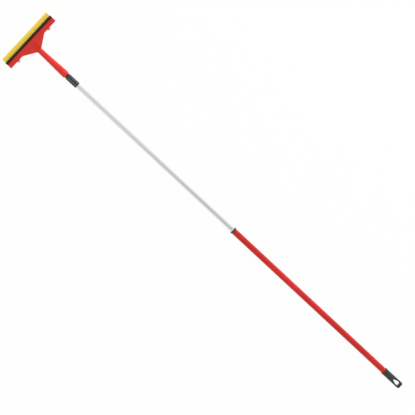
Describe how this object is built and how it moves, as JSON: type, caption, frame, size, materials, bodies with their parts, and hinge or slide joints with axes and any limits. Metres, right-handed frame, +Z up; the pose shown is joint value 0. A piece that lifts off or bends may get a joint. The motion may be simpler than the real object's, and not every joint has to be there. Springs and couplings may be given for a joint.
{
  "type": "window squeegee with telescopic pole",
  "caption": "Window squeegee: a rubber blade and a sponge on a fan-shaped red head, screwed to a telescopic twist-lock pole with a hanging eye.",
  "frame": {"origin": "on the floor under the middle of the extended squeegee, which lies on the back of its sponge and on its end cap", "axes": "+X along the pole towards the head, +Y along the bar, +Z up, the way the blade faces"},
  "size_m": [2.0988, 0.25, 0.0311],
  "materials": {
    "red_enamel": "semi-gloss enamel",
    "red_plastic": "moulded polypropylene",
    "aluminium": "anodised",
    "black_plastic": "satin",
    "grey_plastic": "satin",
    "zinc_steel": "zinc plated",
    "rubber": "matt",
    "sponge_foam": "open-cell foam"
  },
  "bodies": {
    "outer_pole": {"outer_tube": "red_enamel", "guide_collar": "black_plastic", "end_cap": "black_plastic"},
    "expander": {"expander_sleeve": "grey_plastic"},
    "inner_pole": {"inner_tube": "aluminium", "lock_plug": "grey_plastic", "lock_spindle": "zinc_steel", "stop_nut": "zinc_steel", "screw_adaptor": "black_plastic"},
    "cone": {"expander_cone": "grey_plastic"},
    "head": {"squeegee_body": "red_plastic", "sponge_carrier": "red_plastic", "blade_rubber": "rubber", "sponge": "sponge_foam"}
  },
  "joints": [
    {"name": "telescope", "type": "slide", "parent": "outer_pole", "child": "expander", "axis": [1, 0, 0], "range_m": [-0.8, 0]},
    {"name": "twist_lock", "type": "hinge", "parent": "expander", "child": "inner_pole", "pos_m": [-0.15, 0, 0.01525], "axis": [1, 0, 0], "range_deg": [0, 360]},
    {"name": "cone_travel", "type": "slide", "parent": "expander", "child": "cone", "axis": [-1, 0, 0], "range_m": [0, 0.003]},
    {"name": "head_pull_off", "type": "slide", "parent": "inner_pole", "child": "head", "axis": [1, 0, 0], "range_m": [0, 0.04]}
  ],
  "couplings": [
    {"joint": "cone_travel", "follows": "twist_lock", "m_per_rad": 0.00047746}
  ]
}
